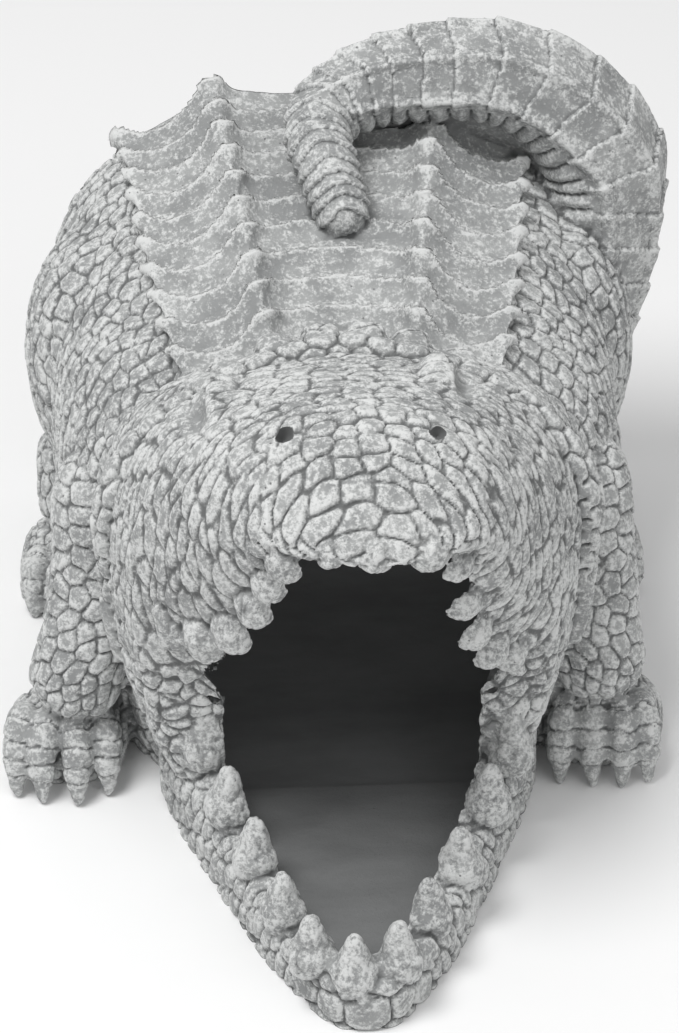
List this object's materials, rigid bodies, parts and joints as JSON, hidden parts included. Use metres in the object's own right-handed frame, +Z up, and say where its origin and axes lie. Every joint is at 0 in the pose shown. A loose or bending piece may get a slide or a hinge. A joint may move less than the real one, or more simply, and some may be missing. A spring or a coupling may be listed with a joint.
{
  "type": "downspout extender",
  "caption": "Cast crocodile with a water tunnel from its open rear to its open mouth; it lies at a downspout's foot and leads rainwater away from the wall.",
  "frame": {"origin": "on the ground plane, under the middle of the water tunnel", "axes": "-Y is the way the animal faces and the water leaves, +Y points to the wall behind it, +X is on the animal's left, +Z is up"},
  "size_m": [0.2194, 0.2684, 0.1921],
  "materials": {
    "cast_stone": "matt, pale grey brushed over darker grey"
  },
  "bodies": {
    "root": {"crocodile": "cast_stone"}
  },
  "joints": []
}
